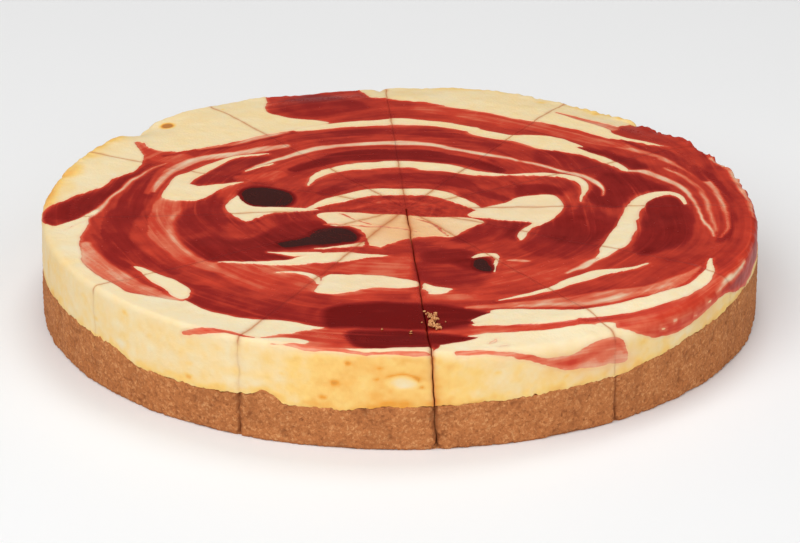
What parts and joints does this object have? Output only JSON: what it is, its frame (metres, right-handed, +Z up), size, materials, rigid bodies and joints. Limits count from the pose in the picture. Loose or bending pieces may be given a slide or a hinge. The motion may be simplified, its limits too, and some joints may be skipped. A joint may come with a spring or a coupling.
{
  "type": "baked cheesecake",
  "caption": "Round baked cheesecake with a berry sauce swirl on a crumb crust, ready cut into equal slices that stand together.",
  "frame": {"origin": "on the surface that the cake stands on, under the middle of its bounding box", "axes": "+Z up through the top, -Y towards the side that the picture shows in front, +X to the picture's right"},
  "size_m": [0.229, 0.229, 0.0325],
  "materials": {
    "crumb_crust": "rough pressed biscuit crumb, mid brown with lighter and darker grains",
    "cheese_filling": "smooth baked cream cheese, pale cream with a glossy dark red berry sauce marbled into the top"
  },
  "bodies": {
    "root": {"crust_01": "crumb_crust", "filling_01": "cheese_filling", "crust_02": "crumb_crust", "filling_02": "cheese_filling", "crust_03": "crumb_crust", "filling_03": "cheese_filling", "crust_04": "crumb_crust", "filling_04": "cheese_filling", "crust_05": "crumb_crust", "filling_05": "cheese_filling", "crust_06": "crumb_crust", "filling_06": "cheese_filling", "crust_07": "crumb_crust", "filling_07": "cheese_filling", "crust_08": "crumb_crust", "filling_08": "cheese_filling", "crust_09": "crumb_crust", "filling_09": "cheese_filling", "crust_10": "crumb_crust", "filling_10": "cheese_filling", "crust_11": "crumb_crust", "filling_11": "cheese_filling", "crust_12": "crumb_crust", "filling_12": "cheese_filling"}
  },
  "joints": []
}
